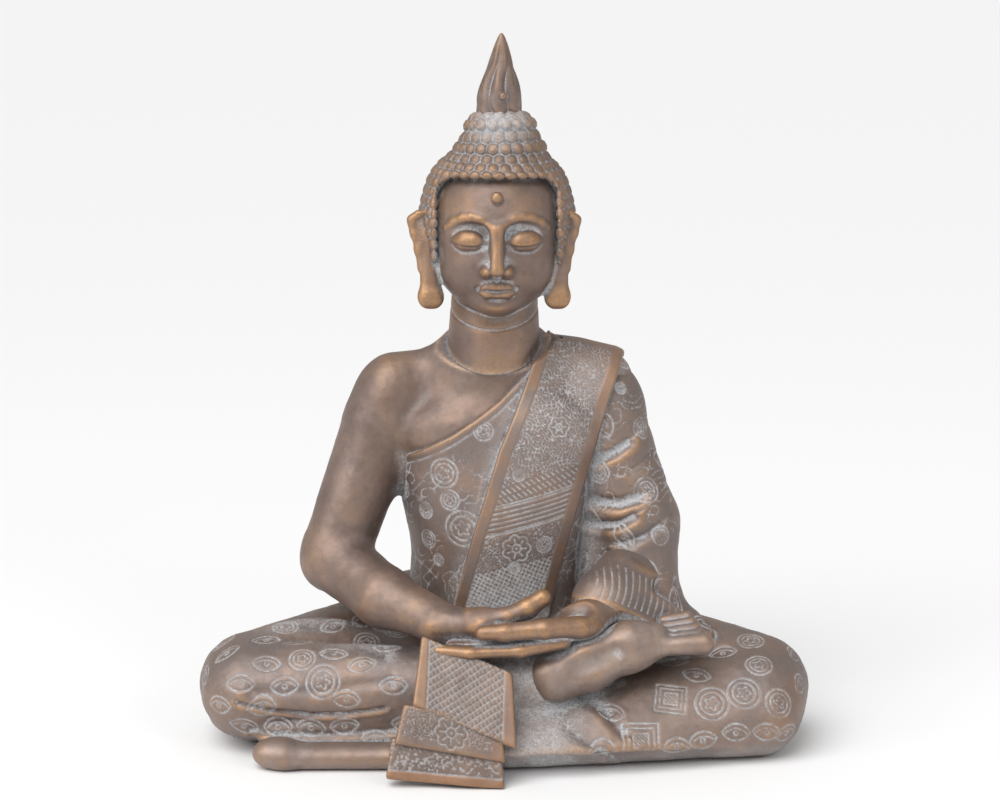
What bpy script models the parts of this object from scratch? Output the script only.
"""Seated meditating figure: a hollow sectional casting with a separate base plate.

Metres, +Z up, the figure faces -Y.  +X is the figure's own left-hand side.
Every casting is built oversize from simple solids, fused, then trimmed against its
neighbours so that a small assembly gap is left all round.
"""
import math

import bmesh
import bpy
from mathutils import Matrix, Vector

# ---------------------------------------------------------------- driving dimensions
MM = 0.001                 # all shape numbers below are millimetres
GAP = 0.3                  # assembly gap between neighbouring castings
CLOTH_GAP = 0.5            # gap under the thin cloth castings
WALL = 9.0                 # casting wall
RIM_Z = 1.0                # underside of the leg casting
PLATE_Z = 3.0              # underside of the base plate
PLATE_T = 5.0              # base plate thickness
PAD_R = 13.0               # felt pad radius
SCREW_R = 2.0              # base screw shank radius
SCREW_HEAD_R = 4.2         # base screw head radius
SCREW_LEN = 20.0           # shank length above the head
BOSS_R = 10.0              # screw pillar radius
DOWEL_R = 7.0              # locating dowel radius

SHOULDER_CUT_R = -86.0     # plane where the bare arm meets the torso
SHOULDER_CUT_L = 88.0      # plane where the sleeve meets the torso
HEAD_X = -3.0              # head centre, side to side
HEAD_Y = 28.0              # head centre, front to back
VERTEX_Z = 503.0           # top of the skull
CHIN_Z = 363.0             # chin
FACE_THIRD = 39.7          # hairline to brow, brow to nose base, nose base to chin
NECK_SEAM_Z = 336.0        # collar line where the head casting ends
CROWN_Z = 533.0            # top of the raised crown
FLAME_TOP_Z = 600.0        # tip of the flame

SKIN_RGB = (0.21, 0.14, 0.11)
ROBE_RGB = (0.24, 0.17, 0.14)
SASH_RGB = (0.30, 0.20, 0.14)
HAIR_RGB = (0.17, 0.12, 0.10)
GOLD_RGB = (0.50, 0.31, 0.15)
PLATE_RGB = (0.10, 0.09, 0.08)
STEEL_RGB = (0.60, 0.60, 0.61)
FELT_RGB = (0.05, 0.05, 0.05)
WOOD_RGB = (0.45, 0.32, 0.18)


# ---------------------------------------------------------------- small helpers
def clear_scene():
    for obj in list(bpy.data.objects):
        bpy.data.objects.remove(obj, do_unlink=True)


def make_material(name, rgb, rough, metal):
    mat = bpy.data.materials.new(name)
    mat.use_nodes = True
    bsdf = mat.node_tree.nodes["Principled BSDF"]
    bsdf.inputs["Base Color"].default_value = (rgb[0], rgb[1], rgb[2], 1.0)
    bsdf.inputs["Roughness"].default_value = rough
    bsdf.inputs["Metallic"].default_value = metal
    mat.diffuse_color = (rgb[0], rgb[1], rgb[2], 1.0)
    return mat


def link_mesh(name, mesh):
    obj = bpy.data.objects.new(name, mesh)
    bpy.context.scene.collection.objects.link(obj)
    return obj


def from_bmesh(name, bm):
    bmesh.ops.recalc_face_normals(bm, faces=bm.faces)
    mesh = bpy.data.meshes.new(name)
    bm.to_mesh(mesh)
    bm.free()
    return link_mesh(name, mesh)


def discard(*objects):
    for obj in objects:
        mesh = obj.data
        bpy.data.objects.remove(obj, do_unlink=True)
        bpy.data.meshes.remove(mesh)


def bake_modifiers(obj):
    graph = bpy.context.evaluated_depsgraph_get()
    graph.update()
    mesh = bpy.data.meshes.new_from_object(obj.evaluated_get(graph))
    old = obj.data
    obj.modifiers.clear()
    obj.data = mesh
    bpy.data.meshes.remove(old)
    return obj


def copy_of(obj, name):
    return link_mesh(name, obj.data.copy())


# ---------------------------------------------------------------- building solids
def add_hull(bm, balls, segments=20):
    """Convex skin around a few ellipsoids, each (centre, radii) in millimetres."""
    fresh = []
    for centre, radii in balls:
        if not isinstance(radii, tuple):
            radii = (radii, radii, radii)
        place = Matrix.Translation(Vector(centre) * MM)
        scale = Matrix.Diagonal((radii[0] * MM, radii[1] * MM, radii[2] * MM, 1.0))
        made = bmesh.ops.create_uvsphere(
            bm, u_segments=segments, v_segments=segments // 2, radius=1.0, matrix=place @ scale)
        fresh.extend(made["verts"])
    if len(balls) == 1:
        return
    result = bmesh.ops.convex_hull(bm, input=fresh)
    loose = [e for e in result["geom_interior"] if isinstance(e, bmesh.types.BMVert)]
    bmesh.ops.delete(bm, geom=loose, context="VERTS")


def hull_parts(parts, segments=20):
    """Separate hulls kept in one mesh, ready to be fused by a voxel remesh."""
    bm = bmesh.new()
    for balls in parts:
        piece = bmesh.new()
        add_hull(piece, balls, segments)
        bmesh.ops.recalc_face_normals(piece, faces=piece.faces)
        mesh = bpy.data.meshes.new("hull")
        piece.to_mesh(mesh)
        piece.free()
        bm.from_mesh(mesh)
        bpy.data.meshes.remove(mesh)
    return bm


def fuse(name, parts, voxel, smooth, triangles, segments=20):
    """One smooth closed skin round all the parts, thinned to a triangle budget."""
    obj = from_bmesh(name, hull_parts(parts, segments))
    mod = obj.modifiers.new("fuse", "REMESH")
    mod.mode = "VOXEL"
    mod.voxel_size = voxel * MM
    mod.use_remove_disconnected = False
    soft = obj.modifiers.new("soften", "SMOOTH")
    soft.factor = 0.5
    soft.iterations = smooth
    bake_modifiers(obj)
    thin(obj, triangles)
    return obj


def thin(obj, triangles):
    """Reduce a closed skin to roughly the given number of triangles."""
    obj.data.calc_loop_triangles()
    count = len(obj.data.loop_triangles)
    if count <= triangles:
        return
    mod = obj.modifiers.new("thin", "DECIMATE")
    mod.ratio = triangles / count
    mod.use_collapse_triangulate = True
    bake_modifiers(obj)


def inflated(obj, distance):
    """Copy of a skin pushed out along its normals by a distance in millimetres."""
    out = copy_of(obj, obj.name + "_grown")
    bm = bmesh.new()
    bm.from_mesh(out.data)
    bm.normal_update()
    normals = [v.normal.copy() for v in bm.verts]
    for vert, normal in zip(bm.verts, normals):
        vert.co += normal * distance * MM
    bm.to_mesh(out.data)
    bm.free()
    return out


def block(name, low, high, turn=None, about=(0, 0, 0)):
    """Rectangular cutter between two corners, optionally turned about a point."""
    bm = bmesh.new()
    size = [h - l for l, h in zip(low, high)]
    mid = [(h + l) / 2.0 for l, h in zip(low, high)]
    matrix = Matrix.Translation(Vector(mid) * MM)
    matrix = matrix @ Matrix.Diagonal((size[0] * MM, size[1] * MM, size[2] * MM, 1.0))
    bmesh.ops.create_cube(bm, size=1.0, matrix=matrix)
    if turn is not None:
        bmesh.ops.rotate(bm, cent=Vector(about) * MM, matrix=turn, verts=bm.verts)
    return from_bmesh(name, bm)


def half_space(name, point, normal, reach=900.0):
    """Large cube filling everything on the far side of a plane, along its normal."""
    normal = Vector(normal).normalized()
    turn = Vector((0, 0, 1)).rotation_difference(normal).to_matrix().to_4x4()
    matrix = Matrix.Translation((Vector(point) + normal * reach / 2.0) * MM) @ turn
    bm = bmesh.new()
    bmesh.ops.create_cube(bm, size=reach * MM, matrix=matrix)
    return from_bmesh(name, bm)


def rod(name, start, end, radius, segments=20):
    """Plain cylinder between two points."""
    first = Vector(start) * MM
    last = Vector(end) * MM
    axis = last - first
    turn = Vector((0, 0, 1)).rotation_difference(axis.normalized()).to_matrix().to_4x4()
    matrix = Matrix.Translation((first + last) / 2.0) @ turn
    bm = bmesh.new()
    bmesh.ops.create_cone(bm, cap_ends=True, segments=segments, radius1=radius * MM,
                          radius2=radius * MM, depth=axis.length, matrix=matrix)
    return from_bmesh(name, bm)


def prism(name, outline, low, high, axis="Y"):
    """Closed outline pushed straight along one axis."""
    bm = bmesh.new()
    if axis == "Y":
        near = [bm.verts.new(Vector((x, low, z)) * MM) for x, z in outline]
        far = [bm.verts.new(Vector((x, high, z)) * MM) for x, z in outline]
    else:
        near = [bm.verts.new(Vector((x, y, low)) * MM) for x, y in outline]
        far = [bm.verts.new(Vector((x, y, high)) * MM) for x, y in outline]
    count = len(outline)
    bm.faces.new(near)
    bm.faces.new(list(reversed(far)))
    for i in range(count):
        j = (i + 1) % count
        bm.faces.new((near[i], far[i], far[j], near[j]))
    return from_bmesh(name, bm)


def combine(obj, tool, how):
    mod = obj.modifiers.new("trim", "BOOLEAN")
    mod.operation = how
    mod.solver = "EXACT"
    mod.object = tool
    bake_modifiers(obj)
    discard(tool)
    return obj


def cut(obj, tool):
    return combine(obj, tool, "DIFFERENCE")


def keep(obj, tool):
    return combine(obj, tool, "INTERSECT")


def clear_of(obj, *neighbours, gap=GAP):
    """Trim a casting so that it stays one assembly gap away from its neighbours."""
    for other in neighbours:
        cut(obj, inflated(other, gap))
    return obj


def tidy(obj):
    """Merge boolean slivers and keep the one main body."""
    bm = bmesh.new()
    bm.from_mesh(obj.data)
    bmesh.ops.remove_doubles(bm, verts=bm.verts, dist=0.00005)
    bmesh.ops.dissolve_degenerate(bm, dist=0.00005, edges=bm.edges)
    bmesh.ops.triangulate(bm, faces=bm.faces)
    seen = set()
    islands = []
    for face in bm.faces:
        if face in seen:
            continue
        stack = [face]
        seen.add(face)
        island = []
        while stack:
            current = stack.pop()
            island.append(current)
            for edge in current.edges:
                for other in edge.link_faces:
                    if other not in seen:
                        seen.add(other)
                        stack.append(other)
        islands.append(island)
    islands.sort(key=len, reverse=True)
    for island in islands[1:]:
        bmesh.ops.delete(bm, geom=island, context="FACES")
    bmesh.ops.recalc_face_normals(bm, faces=bm.faces)
    bm.to_mesh(obj.data)
    bm.free()
    return obj


def finish(obj, name, mat, smooth=True):
    tidy(obj)
    obj.name = name
    obj.data.name = name
    obj.data.materials.clear()
    obj.data.materials.append(mat)
    for poly in obj.data.polygons:
        poly.use_smooth = smooth
        poly.material_index = 0
    return obj


# ---------------------------------------------------------------- legs and hips
def leg_parts(grow=0.0):
    g = grow
    return [
        [((-62, 78, 58), 64 + g), ((-213, -34, 50), (47 + g, 48 + g, 46 + g))],
        [((62, 78, 58), 64 + g), ((216, -34, 48), (47 + g, 48 + g, 46 + g))],
        [((-208, -46, 48), (44 + g, 44 + g, 42 + g)), ((24, -80, 68), (32 + g, 30 + g, 31 + g))],
        [((212, -48, 42), (43 + g, 42 + g, 42 + g)), ((-96, -84, 26), (34 + g, 30 + g, 26 + g))],
        [((-78, 88, 55), (66 + g, 54 + g, 62 + g)), ((78, 88, 55), (66 + g, 54 + g, 62 + g))],
        [((-90, -30, 36), (60 + g, 50 + g, 44 + g)), ((90, -30, 36), (60 + g, 50 + g, 44 + g)),
         ((0, 60, 45), (100 + g, 60 + g, 50 + g))],
        [((-205, -42, 14), (30 + g, 34 + g, 16)), ((205, -42, 14), (30 + g, 34 + g, 16)),
         ((-100, -78, 14), (30 + g, 28 + g, 16)), ((100, -78, 14), (30 + g, 28 + g, 16)),
         ((-90, 100, 14), (40 + g, 36 + g, 16)), ((90, 100, 14), (40 + g, 36 + g, 16))],
    ]


BOSSES = [(-190, -46), (190, -46), (-90, -66), (90, -66), (-80, 92), (80, 92)]
PADS = [(-160, -40), (160, -40), (-50, 98), (50, 98), (0, -68)]
PLATE_OUTLINE = [(-217, -44), (-203, -60), (-100, -88), (0, -88), (100, -88), (203, -60),
                 (217, -44), (214, -28), (112, 98), (84, 118), (-84, 118), (-112, 98),
                 (-214, -28)]


def scaled_outline(outline, offset):
    """Outline moved outward by an offset, measured along corner bisectors."""
    count = len(outline)
    moved = []
    for i in range(count):
        before = Vector(outline[i - 1])
        here = Vector(outline[i])
        after = Vector(outline[(i + 1) % count])
        edge_a = (here - before).normalized()
        edge_b = (after - here).normalized()
        normal = Vector((edge_a.y + edge_b.y, -edge_a.x - edge_b.x)).normalized()
        moved.append((here.x + normal.x * offset, here.y + normal.y * offset))
    return moved


def build_legs(mats):
    outer = fuse("legs_outer", leg_parts(), 6.0, 6, 1300)
    floor = block("floor", (-400, -300, -100), (400, 300, RIM_Z))
    cut(outer, floor)
    tidy(outer)
    solid = copy_of(outer, "legs_solid")
    cavity = fuse("legs_cavity", leg_parts(-WALL - 3.0), 8.0, 4, 320)
    keep(cavity, block("above", (-400, -300, -20), (400, 300, 200)))
    for x, y in BOSSES:
        cut(cavity, rod("boss", (x, y, -30), (x, y, 200), BOSS_R, 12))
    recess = prism("recess", scaled_outline(PLATE_OUTLINE, GAP), -10, PLATE_Z + PLATE_T + GAP, "Z")
    cut(outer, cavity)
    cut(outer, recess)
    for x, y in BOSSES:
        top = PLATE_Z + SCREW_LEN + GAP
        cut(outer, rod("pilot", (x, y, -5), (x, y, top), SCREW_R + GAP, 12))
    return finish(outer, "crossed_legs_shell", mats["robe"]), solid


# ---------------------------------------------------------------- upper body
def torso_parts(grow=0.0):
    g = grow
    return [
        [((0, 48, 92), (84 + g, 68 + g, 26)), ((-2, 40, 140), (77 + g, 60 + g, 20))],
        [((-2, 40, 140), (77 + g, 60 + g, 20)), ((-2, 40, 205), (85 + g, 63 + g, 22))],
        [((-2, 40, 205), (85 + g, 63 + g, 22)), ((-2, 44, 262), (97 + g, 62 + g, 26 + g))],
        [((-2, 44, 262), (97 + g, 62 + g, 26 + g)), ((-4, 44, 304), (82 + g, 46 + g, 20 + g))],
        [((-4, 45, 304), (78 + g, 42 + g, 18 + g)), ((-6, 37, 345), (43 + g, 37 + g, 14))],
        [((-70, 44, 296), (36 + g, 38 + g, 28 + g)), ((-98, 40, 277), (37 + g, 38 + g, 36 + g))],
        [((70, 44, 300), (36 + g, 38 + g, 30 + g)), ((88, 40, 284), (34 + g, 38 + g, 36 + g))],
    ]


RIGHT_SHOULDER = (-98, 40, 276)
RIGHT_ELBOW = (-143, 12, 152)
RIGHT_WRIST = (-47, -80, 116)


def right_arm_parts():
    return [[(RIGHT_SHOULDER, (38, 38, 37)), ((-122, 26, 212), (31, 31, 30))],
            [((-122, 26, 212), (31, 31, 30)), (RIGHT_ELBOW, (30, 30, 30))]]


def left_sleeve_parts():
    return [
        [((90, 40, 280), (36, 39, 38)), ((114, 22, 170), (33, 35, 34))],
        [((114, 22, 170), (33, 35, 34)), ((124, 2, 118), (32, 36, 26))],
        [((124, 2, 118), (32, 36, 26)), ((158, -6, 96), (30, 34, 14))],
    ]


def collar_plane(name, side):
    """Tilted seam below the neck; side +1 keeps above it, -1 below it."""
    normal = Vector((0.0, -0.36, 0.93))
    point = Vector((-6, 36, NECK_SEAM_Z)) + normal * side * GAP / 2.0
    return half_space(name, point, normal * side)


def build_upper(mats, legs_solid):
    parts = torso_parts() + right_arm_parts() + left_sleeve_parts()
    whole = fuse("upper_solid", parts, 6.0, 5, 1500)
    keep(whole, collar_plane("below_collar", -1))
    elbow_up = Vector(RIGHT_SHOULDER) - Vector(RIGHT_ELBOW)
    fore = Vector(RIGHT_WRIST) - Vector(RIGHT_ELBOW)
    fold = (elbow_up.normalized() - fore.normalized()).normalized()
    point = Vector(RIGHT_ELBOW) + fold * GAP / 2.0
    arm = copy_of(whole, "arm")
    keep(arm, block("arm_side", (-400, -300, 0), (SHOULDER_CUT_R - GAP / 2, 300, 700)))
    keep(arm, half_space("above_elbow", point, fold))
    sleeve = copy_of(whole, "sleeve")
    keep(sleeve, block("sleeve_side", (SHOULDER_CUT_L + GAP / 2, -300, 0), (400, 300, 700)))
    clear_of(sleeve, legs_solid)
    torso = copy_of(whole, "torso")
    low = SHOULDER_CUT_R + GAP / 2
    high = SHOULDER_CUT_L - GAP / 2
    keep(torso, block("torso_zone", (low, -300, 0), (high, 300, 700)))
    clear_of(torso, legs_solid)
    cavity_shapes = [
        [((0, 48, 70), (66, 50, 26)), ((-2, 40, 140), (61, 44, 20))],
        [((-2, 40, 140), (61, 44, 20)), ((-2, 42, 262), (64, 44, 20))],
        [((-2, 42, 262), (64, 44, 20)), ((-4, 42, 292), (44, 28, 8))],
    ]
    cut(torso, fuse("torso_cavity", cavity_shapes, 8.0, 3, 200))
    for outer, inner, limb in ((-116, -70, arm), (118, 72, sleeve)):
        side = 1.0 if outer > 0 else -1.0
        start = (outer + side * GAP, 40, 276)
        end = (inner - side * GAP, 40, 276)
        cut(limb, rod("hole", start, end, DOWEL_R + GAP, 16))
        cut(torso, rod("hole", start, end, DOWEL_R + GAP, 16))
    cut(torso, rod("hole", (-5, 37, 304 - GAP), (-5, 37, 400), DOWEL_R + GAP, 16))
    return arm, sleeve, torso, whole, fold


def build_forearm(legs_solid, fold):
    shapes = [[(RIGHT_ELBOW, (30, 30, 30)), ((-100, -36, 127), (27, 27, 26))],
              [((-100, -36, 127), (27, 27, 26)), (RIGHT_WRIST, (18, 19, 18))],
              [(RIGHT_WRIST, (18, 19, 18)), ((-30, -92, 113), (17, 18, 15))]]
    forearm = fuse("forearm", shapes, 5.0, 4, 520)
    point = Vector(RIGHT_ELBOW) - fold * GAP / 2.0
    keep(forearm, half_space("below_elbow", point, -fold))
    axis = (Vector(RIGHT_WRIST) - Vector((-100, -36, 127))).normalized()
    keep(forearm, half_space("before_wrist", Vector(RIGHT_WRIST) - axis * GAP / 2, -axis))
    clear_of(forearm, legs_solid)
    return forearm, axis


def finger(points, radii):
    chain = []
    for i in range(len(points) - 1):
        chain.append([(points[i], radii[i]), (points[i + 1], radii[i + 1])])
    return chain


def build_hands(legs_solid, axis, cuff_solid):
    left = [
        [((84, -76, 124), (20, 19, 16)), ((54, -92, 120), (26, 22, 13))],
        [((54, -92, 116), (24, 22, 10)), ((10, -94, 106), (22, 22, 9))],
    ]
    left += finger([(50, -102, 122), (36, -111, 122), (-8, -113, 122)], [9, 8.5, 7.5])
    left += finger([(44, -104, 112), (16, -112, 104), (-48, -112, 103)], [8.5, 7.5, 7])
    lower = fuse("left_hand", left, 2.6, 3, 520)
    clear_of(lower, legs_solid, cuff_solid)
    right = [
        [(RIGHT_WRIST, (18, 19, 18)), ((-14, -93, 122), (16, 20, 12))],
        [((-14, -93, 122), (16, 20, 12)), ((6, -90, 120), (12, 18, 8))],
    ]
    right += finger([(-16, -95, 127), (14, -94, 136), (36, -90, 146)], [9, 8, 6.8])
    upper = fuse("right_hand", right, 2.6, 3, 460)
    keep(upper, half_space("past_wrist", Vector(RIGHT_WRIST) + axis * GAP / 2, axis))
    clear_of(upper, legs_solid, lower)
    return upper, lower


def build_cuff(legs_solid, torso_solid):
    shapes = [
        [((112, 4, 150), (33, 32, 28)), ((84, -60, 132), (27, 24, 24))],
        [((92, -50, 134), (30, 24, 26)), ((122, -44, 112), (40, 26, 16))],
        [((84, -64, 128), (22, 18, 18)), ((108, -62, 112), (26, 18, 14))],
    ]
    cuff = fuse("cuff", shapes, 5.0, 4, 480)
    solid = copy_of(cuff, "cuff_solid")
    clear_of(cuff, legs_solid, torso_solid)
    return cuff, solid


# ---------------------------------------------------------------- feet
def build_feet(legs_solid):
    upper = [
        [((40, -98, 80), (22, 22, 16)), ((98, -88, 92), (24, 22, 21))],
        [((98, -88, 92), (24, 22, 21)), ((150, -72, 103), (20, 18, 14))],
    ]
    for k in range(5):
        start = (148 + k, -86 + 7 * k, 108 - 2 * k)
        end = (174 - 2 * k, -80 + 7 * k, 107 - 2 * k)
        upper += finger([start, end], [7.5 - 0.5 * k, 6.5 - 0.5 * k])
    right_foot = fuse("right_foot", upper, 3.2, 2, 560)
    clear_of(right_foot, legs_solid)
    lower = [
        [((-104, -100, 13), (24, 16, 13)), ((-166, -100, 14), (24, 16, 14))],
        [((-166, -100, 14), (24, 16, 14)), ((-196, -96, 11), (14, 12, 9))],
    ]
    left_foot = fuse("left_foot", lower, 3.5, 3, 320)
    keep(left_foot, block("off_floor", (-400, -300, RIM_Z), (400, 300, 200)))
    clear_of(left_foot, legs_solid)
    return right_foot, left_foot


# ---------------------------------------------------------------- cloth layers
SASH_FRONT = [(38, 352), (19, 296), (-8, 228), (-29, 150), (-38, 118), (4, 108), (42, 112),
              (47, 131), (67, 209), (88, 293), (104, 320), (106, 345)]
SASH_BACK = [(36, 352), (107, 340), (102, 250), (88, 160), (80, 104), (22, 104),
             (28, 200), (34, 300)]
ROBE_CHEST = [(-84, 243), (-42, 268), (0, 301), (24, 328), (44, 345), (44, 150),
              (20, 112), (-40, 104), (-80, 112), (-78, 150), (-84, 200)]


def cloth_layer(name, outline, y_low, y_high, thick, triangles, torso_solid):
    """Sheet of even thickness lying on the upper body inside a front-view outline."""
    parts = torso_parts(thick) + left_sleeve_parts()
    sheet = fuse(name, parts, 6.0, 5, triangles)
    keep(sheet, prism("outline", outline, y_low, y_high))
    clear_of(sheet, torso_solid, gap=CLOTH_GAP)
    return sheet


def build_cloth(torso_solid, legs_solid):
    front = cloth_layer("front", SASH_FRONT, -200, 42, 7.0, 1200, torso_solid)
    clear_of(front, legs_solid)
    back = cloth_layer("back", SASH_BACK, 42 + GAP, 200, 6.0, 1100, torso_solid)
    clear_of(back, legs_solid)
    tidy(front)
    tidy(back)
    chest = cloth_layer("chest", ROBE_CHEST, -200, 18, 4.0, 1100, torso_solid)
    clear_of(chest, front, legs_solid)
    return front, back, chest


def slab(name, corners, radius, triangles):
    """Rounded slab whose corners are small balls."""
    return fuse(name, [[(corner, radius) for corner in corners]], 3.0, 2, triangles, 12)


def build_lap_tiers(legs_solid):
    lower = slab("tier3", [(-81, -134, 42), (-2, -138, 34), (-87, -148, 7), (0, -149, 7),
                           (-80, -96, 42), (-2, -96, 34), (-84, -96, 8), (-2, -96, 8)], 5.5, 260)
    keep(lower, block("off_floor", (-400, -300, RIM_Z), (400, 300, 200)))
    middle = slab("tier2", [(-72, -128, 66), (0, -130, 54), (-80, -140, 40), (-3, -145, 30),
                            (-70, -96, 66), (0, -96, 54), (-78, -96, 40), (-3, -96, 32)], 5.5, 260)
    upper = slab("tier1", [(-54, -110, 97), (12, -110, 95), (-71, -132, 60), (-5, -137, 47),
                           (-54, -90, 97), (12, -90, 95), (-70, -90, 60), (-5, -90, 47)], 5.5, 260)
    clear_of(lower, legs_solid)
    clear_of(middle, legs_solid, lower)
    clear_of(upper, legs_solid, middle)
    return upper, middle, lower


# ---------------------------------------------------------------- head
def build_head(torso_solid):
    brow_z = CHIN_Z + 2 * FACE_THIRD
    nose_z = CHIN_Z + FACE_THIRD
    mouth_z = nose_z - FACE_THIRD / 3.0
    eye_z = (VERTEX_Z + CHIN_Z) / 2.0
    x, y = HEAD_X, HEAD_Y
    eye_x = 22.0
    parts = [
        [((x, y, 441), (58, 64, 62))],
        [((x, y - 4, 436), (55, 58, 40)), ((x, y - 8, 410), (47, 50, 28))],
        [((x, y - 8, 410), (47, 50, 28)), ((x, y - 32, CHIN_Z + 14), (24, 24, 14))],
        [((x, y - 48, CHIN_Z + 10), (11, 9, 9))],
        [((x, y + 2, 400), (40, 38, 20)), ((x - 2, y + 9, 320), (42, 37, 14))],
        [((x, y - 60, brow_z - 4), (4, 5, 6)), ((x, y - 64, nose_z + 7), (6, 7, 5))],
        [((x - 7, y - 59, nose_z + 5), (4, 6, 4)), ((x + 7, y - 59, nose_z + 5), (4, 6, 4))],
        [((x - 12, y - 54, mouth_z), (3, 4, 2)), ((x, y - 59, mouth_z + 1.5), (5, 4.5, 3))],
        [((x + 12, y - 54, mouth_z), (3, 4, 2)), ((x, y - 59, mouth_z + 1.5), (5, 4.5, 3))],
        [((x - 5, y - 57.5, mouth_z - 5), (4, 4.5, 3)),
         ((x + 5, y - 57.5, mouth_z - 5), (4, 4.5, 3))],
    ]
    for side in (-1, 1):
        parts.append([((x + side * 6, y - 61, brow_z - 2), (4, 5, 3)),
                      ((x + side * 22, y - 57, brow_z + 4), (5, 5, 2.8))])
        parts.append([((x + side * 22, y - 57, brow_z + 4), (5, 5, 2.8)),
                      ((x + side * 38, y - 45, brow_z - 2), (4, 5, 2.6))])
        parts.append([((x + side * eye_x, y - 50, eye_z - 1), (12.5, 12.5, 7))])
        parts.append([((x + side * 12, y - 56.5, eye_z - 2), (4, 3.5, 1.6)),
                      ((x + side * 22, y - 61, eye_z - 4.5), (5, 3.5, 1.8)),
                      ((x + side * 34, y - 52, eye_z - 1), (4, 3.5, 1.6))])
        parts.append([((x + side * 60, y + 2, 432), (7, 14, 20))])
        parts.append([((x + side * 60, y, 418), (6, 10, 12)), ((x + side * 56, y - 8, 384),
                                                              (7, 9, 14))])
    head = fuse("head", parts, 2.0, 2, 2500, 24)
    solid = copy_of(head, "head_solid")
    keep(head, collar_plane("above_collar", 1))
    cut(head, rod("hole", (-5, 37, 250), (-5, 37, 372 + GAP), DOWEL_R + GAP, 16))
    return head, solid


def build_hair(head_solid):
    x, y = HEAD_X, HEAD_Y
    parts = [
        [((x, y + 1, 441), (66, 71, 62)), ((x, y, 478), (59, 62, 28))],
        [((x, y + 14, 430), (62, 62, 50))],
        [((x + 1, y - 2, 500), (39, 40, 20)), ((x + 2, y - 4, CROWN_Z - 14), (30, 30, 18))],
    ]
    hair = fuse("hair", parts, 5.0, 3, 620)
    front = Vector((x, y - 64, 479))
    nape = Vector((x, y + 60, 382))
    along = (nape - front).normalized()
    normal = Vector((1, 0, 0)).cross(along)
    if normal.z < 0:
        normal = -normal
    keep(hair, half_space("above_hairline", front, normal))
    clear_of(hair, head_solid)
    tidy(hair)
    cut(hair, rod("hole", (-1, 23, 516 - GAP), (-1, 23, 560), 4 + GAP, 14))
    return hair


def build_flame(hair):
    parts = [
        [((0, 23, 545), (20, 19, 13)), ((0, 22, 566), (12, 12, 12))],
        [((0, 22, 566), (12, 12, 12)), ((0, 20, FLAME_TOP_Z - 8.5), (3.5, 3.5, 8))],
    ]
    for k in range(6):
        a = math.radians(60 * k + 30)
        cx, cy = 12.5 * math.cos(a), 12.0 * math.sin(a)
        parts.append([((cx, 23 + cy, 548), (7.5, 7.5, 9)), ((cx * 0.75, 22 + cy * 0.75, 574),
                                                          (2.6, 2.6, 5))])
    flame = fuse("flame", parts, 2.4, 2, 560)
    clear_of(flame, hair)
    pin = rod("pin", (-1, 23, 516), (-1, 23, 545), 4, 14)
    combine(flame, pin, "UNION")
    return flame


def build_urna(head_solid):
    bm = bmesh.new()
    bead_z = CHIN_Z + 2 * FACE_THIRD + 25
    add_hull(bm, [((HEAD_X, HEAD_Y - 58.5, bead_z), (5.0, 6.0, 5.0))], 14)
    bead = from_bmesh("bead", bm)
    clear_of(bead, head_solid)
    return bead


# ---------------------------------------------------------------- base and fixings
def build_base(mats):
    plate = prism("plate", PLATE_OUTLINE, PLATE_Z, PLATE_Z + PLATE_T, "Z")
    for x, y in BOSSES:
        cut(plate, rod("clear", (x, y, -5), (x, y, 30), SCREW_R + GAP, 12))
    finish(plate, "base_plate", mats["plate"], False)
    for i, (x, y) in enumerate(BOSSES):
        screw = rod("screw", (x, y, 0.6), (x, y, PLATE_Z - GAP), SCREW_HEAD_R, 16)
        shank = rod("shank", (x, y, 1.5), (x, y, PLATE_Z + SCREW_LEN), SCREW_R, 12)
        combine(screw, shank, "UNION")
        finish(screw, "base_screw_%d" % (i + 1), mats["steel"])
    for i, (x, y) in enumerate(PADS):
        pad = rod("pad", (x, y, 0), (x, y, PLATE_Z - GAP), PAD_R, 24)
        finish(pad, "foot_pad_%d" % (i + 1), mats["felt"])


def build_dowels(mats):
    neck = rod("d", (-5, 37, 304), (-5, 37, 372), DOWEL_R, 16)
    finish(neck, "neck_dowel", mats["wood"])
    right = rod("d", (-116, 40, 276), (-70, 40, 276), DOWEL_R, 16)
    finish(right, "right_arm_dowel", mats["wood"])
    left = rod("d", (72, 40, 276), (118, 40, 276), DOWEL_R, 16)
    finish(left, "left_arm_dowel", mats["wood"])


# ---------------------------------------------------------------- assembly
def centre_on_floor():
    """Move every piece together so that the origin is under the middle of the whole."""
    meshes = [obj.data for obj in bpy.data.objects if obj.type == "MESH"]
    xs = [v.co.x for mesh in meshes for v in mesh.vertices]
    ys = [v.co.y for mesh in meshes for v in mesh.vertices]
    shift = Vector((-(min(xs) + max(xs)) / 2.0, -(min(ys) + max(ys)) / 2.0, 0.0))
    for mesh in meshes:
        mesh.transform(Matrix.Translation(shift))


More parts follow.
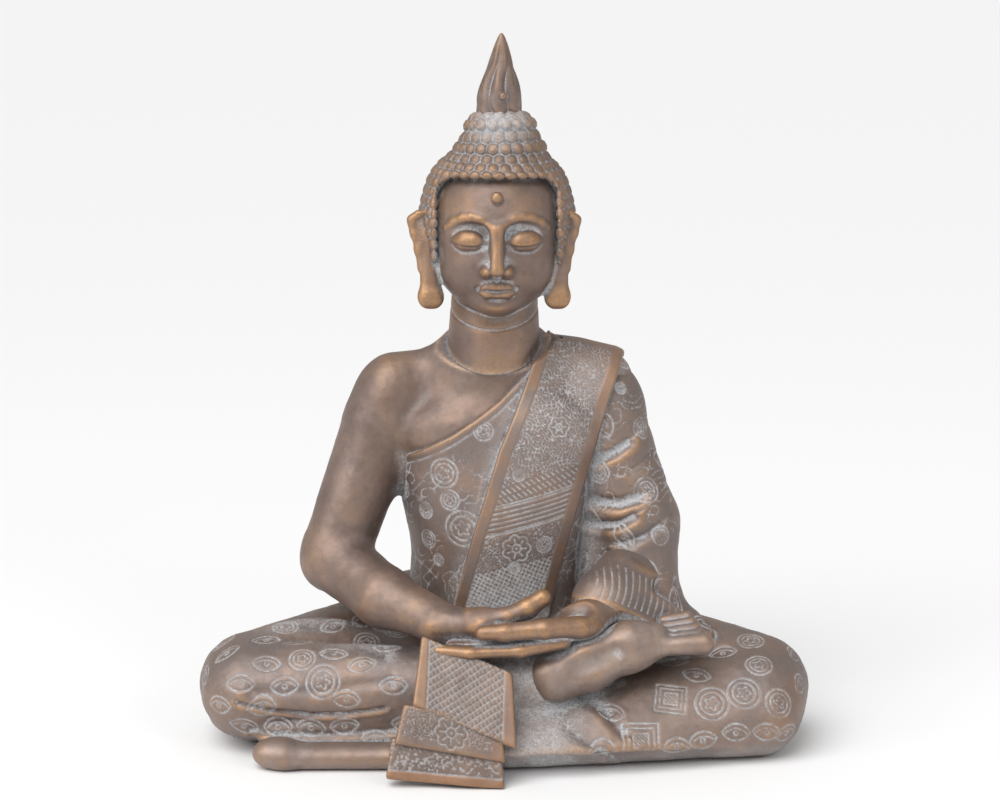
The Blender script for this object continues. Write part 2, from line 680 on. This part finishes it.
def build_materials():
    return {
        "skin": make_material("cast_skin", SKIN_RGB, 0.55, 0.35),
        "robe": make_material("cast_robe", ROBE_RGB, 0.65, 0.3),
        "sash": make_material("cast_sash", SASH_RGB, 0.55, 0.4),
        "hair": make_material("cast_hair", HAIR_RGB, 0.6, 0.35),
        "gold": make_material("gold_paint", GOLD_RGB, 0.4, 0.7),
        "plate": make_material("plate_board", PLATE_RGB, 0.8, 0.0),
        "steel": make_material("screw_steel", STEEL_RGB, 0.35, 1.0),
        "felt": make_material("pad_felt", FELT_RGB, 0.95, 0.0),
        "wood": make_material("dowel_wood", WOOD_RGB, 0.7, 0.0),
    }


def build_all():
    clear_scene()
    mats = build_materials()
    legs, legs_solid = build_legs(mats)
    arm, sleeve, torso, upper_solid, fold = build_upper(mats, legs_solid)
    forearm, axis = build_forearm(legs_solid, fold)
    cuff, cuff_solid = build_cuff(legs_solid, upper_solid)
    right_hand, left_hand = build_hands(legs_solid, axis, cuff_solid)
    right_foot, left_foot = build_feet(legs_solid)
    front, back, chest = build_cloth(upper_solid, legs_solid)
    head, head_solid = build_head(upper_solid)
    for layer in (front, back, chest):
        clear_of(layer, head, torso, sleeve)
    clear_of(cuff, front, sleeve, right_foot)
    clear_of(left_hand, right_foot, front, chest, forearm)
    clear_of(right_hand, right_foot, front, chest, cuff)
    clear_of(chest, arm, sleeve)
    tier1, tier2, tier3 = build_lap_tiers(legs_solid)
    clear_of(left_foot, tier3, tier2)
    clear_of(tier1, forearm)
    clear_of(tier1, right_hand, left_hand, right_foot)
    hair = build_hair(head_solid)
    flame = build_flame(hair)
    urna = build_urna(head_solid)
    discard(legs_solid, upper_solid, cuff_solid, head_solid)
    finish(arm, "right_upper_arm", mats["skin"])
    finish(forearm, "right_forearm", mats["skin"])
    finish(right_hand, "right_hand", mats["skin"])
    finish(left_hand, "left_hand", mats["skin"])
    finish(sleeve, "left_sleeve", mats["robe"])
    finish(cuff, "left_cuff", mats["robe"])
    finish(torso, "torso_shell", mats["skin"])
    finish(chest, "chest_robe", mats["robe"])
    finish(front, "shoulder_sash", mats["sash"])
    finish(back, "back_sash", mats["sash"])
    finish(right_foot, "right_foot", mats["skin"])
    finish(left_foot, "left_foot", mats["skin"])
    finish(tier1, "lap_sash_upper", mats["sash"])
    finish(tier2, "lap_sash_middle", mats["sash"])
    finish(tier3, "lap_sash_lower", mats["sash"])
    finish(head, "head_shell", mats["skin"])
    finish(hair, "hair_cap", mats["hair"])
    finish(flame, "flame_finial", mats["gold"])
    finish(urna, "urna_bead", mats["gold"])
    build_base(mats)
    build_dowels(mats)
    centre_on_floor()


build_all()
